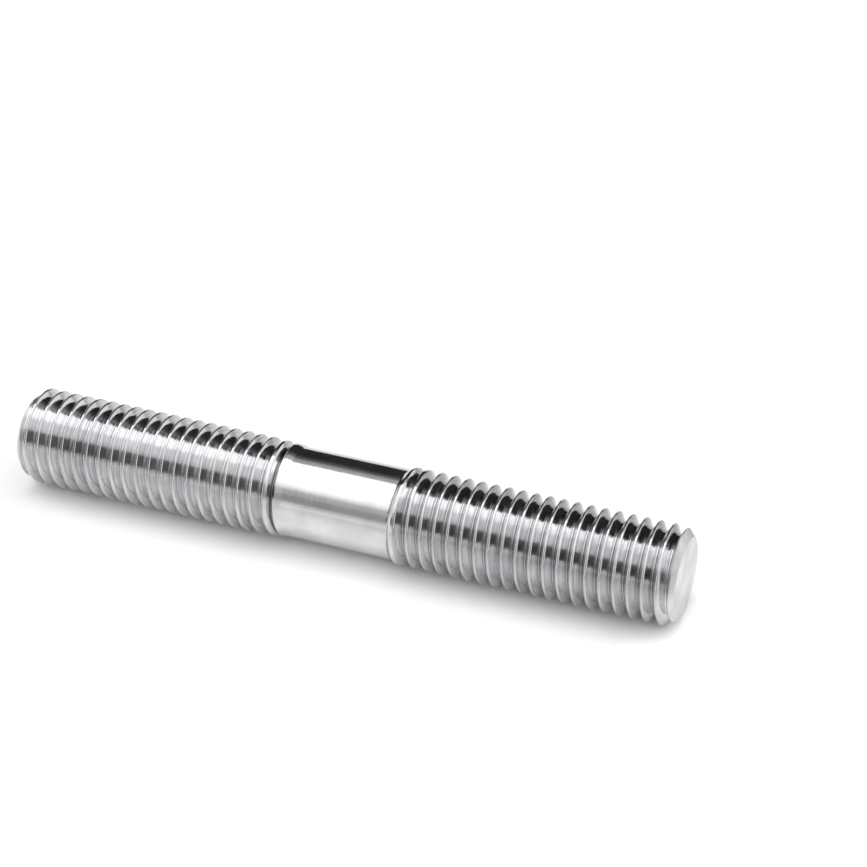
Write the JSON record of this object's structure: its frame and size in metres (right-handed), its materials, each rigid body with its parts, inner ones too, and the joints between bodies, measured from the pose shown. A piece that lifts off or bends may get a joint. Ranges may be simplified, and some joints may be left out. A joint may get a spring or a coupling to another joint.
{
  "type": "double ended stud",
  "caption": "Straight steel stud with a coarse right-hand metric thread on each end and a plain shank between them, for clamping parts together with nuts or tapped holes.",
  "frame": {"origin": "centre of the flat end face that the stud stands on", "axes": "+Z along the stud's axis, from the lower end to the upper end"},
  "size_m": [0.014, 0.014, 0.1],
  "materials": {
    "stainless_steel": "bright machined stainless steel with fine turning marks"
  },
  "bodies": {
    "root": {"stud": "stainless_steel"}
  },
  "joints": []
}
